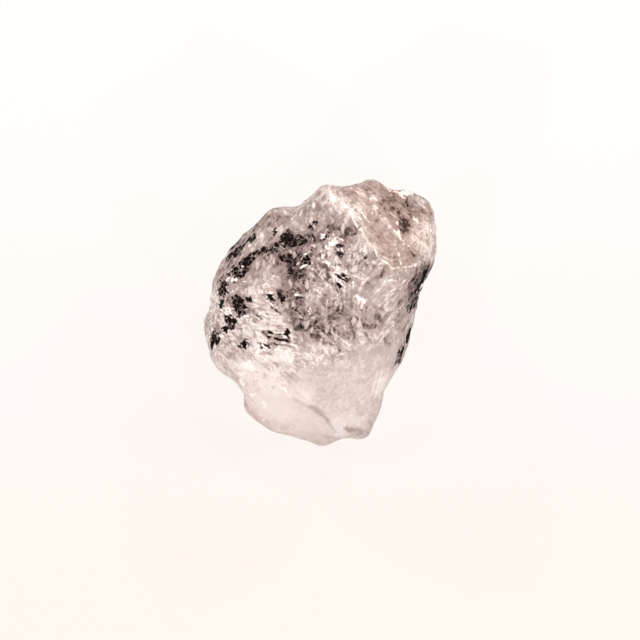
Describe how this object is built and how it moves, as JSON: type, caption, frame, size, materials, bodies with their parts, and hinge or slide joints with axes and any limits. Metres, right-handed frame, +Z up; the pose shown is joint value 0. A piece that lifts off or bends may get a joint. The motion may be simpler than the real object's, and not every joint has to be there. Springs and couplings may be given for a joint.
{
  "type": "rough morganite crystal",
  "caption": "Broken fragment of a pale pink beryl crystal, see-through, with a flat back that it rests on.",
  "frame": {"origin": "middle of the crystal's bounding box, at the level of its flat back, which is the resting face", "axes": "+Z up, away from the resting face; +Y along the crystal's length, towards its blunt end; +X to the right"},
  "size_m": [0.0188, 0.0212, 0.0138],
  "materials": {
    "morganite": "pale pinkish beryl, see-through, rough where it is broken, with dark internal flaws; 2800 kg per cubic metre"
  },
  "bodies": {
    "root": {"crystal": "morganite"}
  },
  "joints": []
}
